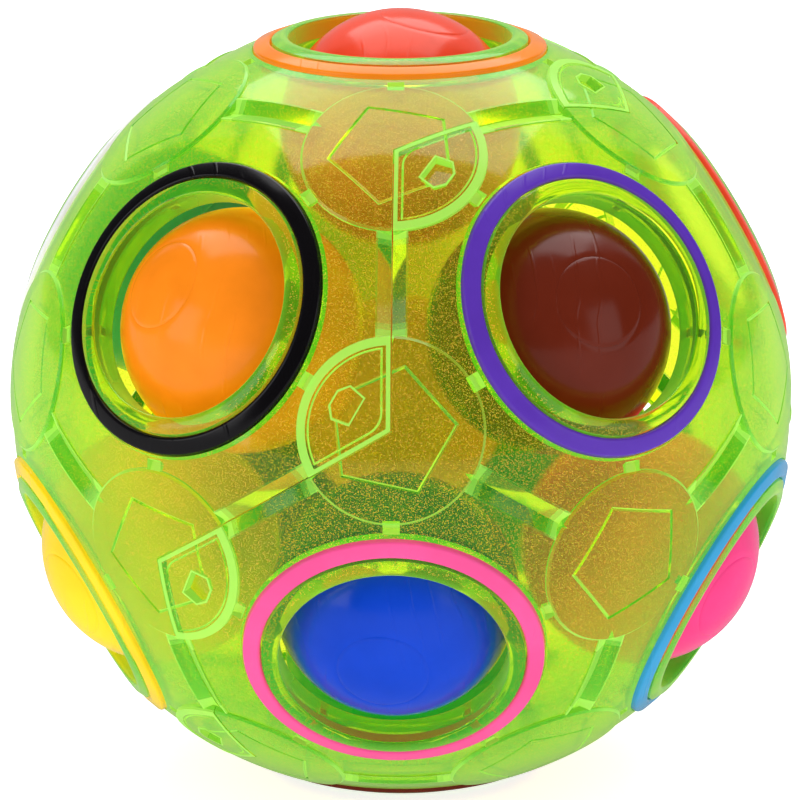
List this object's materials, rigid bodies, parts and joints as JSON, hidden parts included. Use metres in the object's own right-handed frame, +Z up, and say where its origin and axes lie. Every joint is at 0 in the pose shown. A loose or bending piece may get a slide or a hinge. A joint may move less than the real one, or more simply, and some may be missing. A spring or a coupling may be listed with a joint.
{
  "type": "ball-shifting sphere puzzle",
  "caption": "Hollow two-piece sphere with round ringed windows and loose coloured balls that are pressed in and pushed across into an empty window.",
  "frame": {"origin": "centre of the bottom window's rim, on the plane the puzzle stands on", "axes": "+Z up through the top window, -Y towards the lower front window"},
  "size_m": [0.0694, 0.07, 0.069],
  "materials": {
    "shell_lime": "translucent, polished, with fine gold glitter",
    "plastic_orange": "opaque, glossy",
    "plastic_black": "opaque, glossy",
    "plastic_purple": "opaque, glossy",
    "plastic_red": "opaque, glossy",
    "plastic_royal_blue": "opaque, glossy",
    "plastic_white": "opaque, glossy",
    "plastic_pink": "opaque, glossy",
    "plastic_cerulean": "opaque, glossy",
    "plastic_teal": "opaque, glossy",
    "plastic_green": "opaque, glossy",
    "plastic_yellow": "opaque, glossy",
    "plastic_brown": "opaque, glossy",
    "plastic_hot_pink": "opaque, glossy",
    "plastic_amber": "opaque, glossy"
  },
  "bodies": {
    "shell": {"shell_half_right": "shell_lime", "shell_half_left": "shell_lime", "ring_top": "plastic_orange", "ring_upper_front_left": "plastic_black", "ring_upper_front_right": "plastic_purple", "ring_upper_right": "plastic_red", "ring_upper_back": "plastic_royal_blue", "ring_upper_left": "plastic_white", "ring_lower_front": "plastic_pink", "ring_lower_right": "plastic_cerulean", "ring_lower_back_right": "plastic_teal", "ring_lower_back_left": "plastic_green", "ring_lower_left": "plastic_yellow", "ring_bottom": "plastic_brown"},
    "ball_top": {"ball_top": "plastic_red"},
    "ball_upper_front_left": {"ball_upper_front_left": "plastic_orange"},
    "ball_upper_front_right": {"ball_upper_front_right": "plastic_brown"},
    "ball_upper_back": {"ball_upper_back": "plastic_white"},
    "ball_upper_left": {"ball_upper_left": "plastic_cerulean"},
    "ball_lower_front": {"ball_lower_front": "plastic_royal_blue"},
    "ball_lower_right": {"ball_lower_right": "plastic_hot_pink"},
    "ball_lower_back_right": {"ball_lower_back_right": "plastic_green"},
    "ball_lower_back_left": {"ball_lower_back_left": "plastic_purple"},
    "ball_lower_left": {"ball_lower_left": "plastic_yellow"},
    "ball_bottom": {"ball_bottom": "plastic_teal"},
    "core_ball": {"core_ball": "plastic_amber"}
  },
  "joints": [
    {"name": "press_top_ball", "type": "slide", "parent": "shell", "child": "ball_top", "axis": [0, 0, -1], "range_m": [-0.0014, 0.002]},
    {"name": "press_upper_front_left_ball", "type": "slide", "parent": "shell", "child": "ball_upper_front_left", "axis": [0.5257, 0.7236, -0.4472], "range_m": [-0.0014, 0.002]},
    {"name": "press_upper_front_right_ball", "type": "slide", "parent": "shell", "child": "ball_upper_front_right", "axis": [-0.5257, 0.7236, -0.4472], "range_m": [-0.0014, 0.002]},
    {"name": "press_upper_back_ball", "type": "slide", "parent": "shell", "child": "ball_upper_back", "axis": [0, -0.8944, -0.4472], "range_m": [-0.0014, 0.002]},
    {"name": "press_upper_left_ball", "type": "slide", "parent": "shell", "child": "ball_upper_left", "axis": [0.8507, -0.2764, -0.4472], "range_m": [-0.0014, 0.002]},
    {"name": "press_lower_front_ball", "type": "slide", "parent": "shell", "child": "ball_lower_front", "axis": [0, 0.8944, 0.4472], "range_m": [-0.0014, 0.002]},
    {"name": "press_lower_right_ball", "type": "slide", "parent": "shell", "child": "ball_lower_right", "axis": [-0.8507, 0.2764, 0.4472], "range_m": [-0.0014, 0.002]},
    {"name": "shift_lower_back_right_ball", "type": "slide", "parent": "shell", "child": "ball_lower_back_right", "axis": [0.309, -0.4253, 0.8507], "range_m": [0, 0.02524]},
    {"name": "press_lower_back_left_ball", "type": "slide", "parent": "shell", "child": "ball_lower_back_left", "axis": [0.5257, -0.7236, 0.4472], "range_m": [-0.0014, 0.002]},
    {"name": "press_lower_left_ball", "type": "slide", "parent": "shell", "child": "ball_lower_left", "axis": [0.8507, 0.2764, 0.4472], "range_m": [-0.0014, 0.002]},
    {"name": "press_bottom_ball", "type": "slide", "parent": "shell", "child": "ball_bottom", "axis": [0, 0, 1], "range_m": [-0.0037, 0.0004]},
    {"name": "core_float", "type": "slide", "parent": "shell", "child": "core_ball", "axis": [0, 0, 1], "range_m": [-0.0012, 0.0012]}
  ]
}
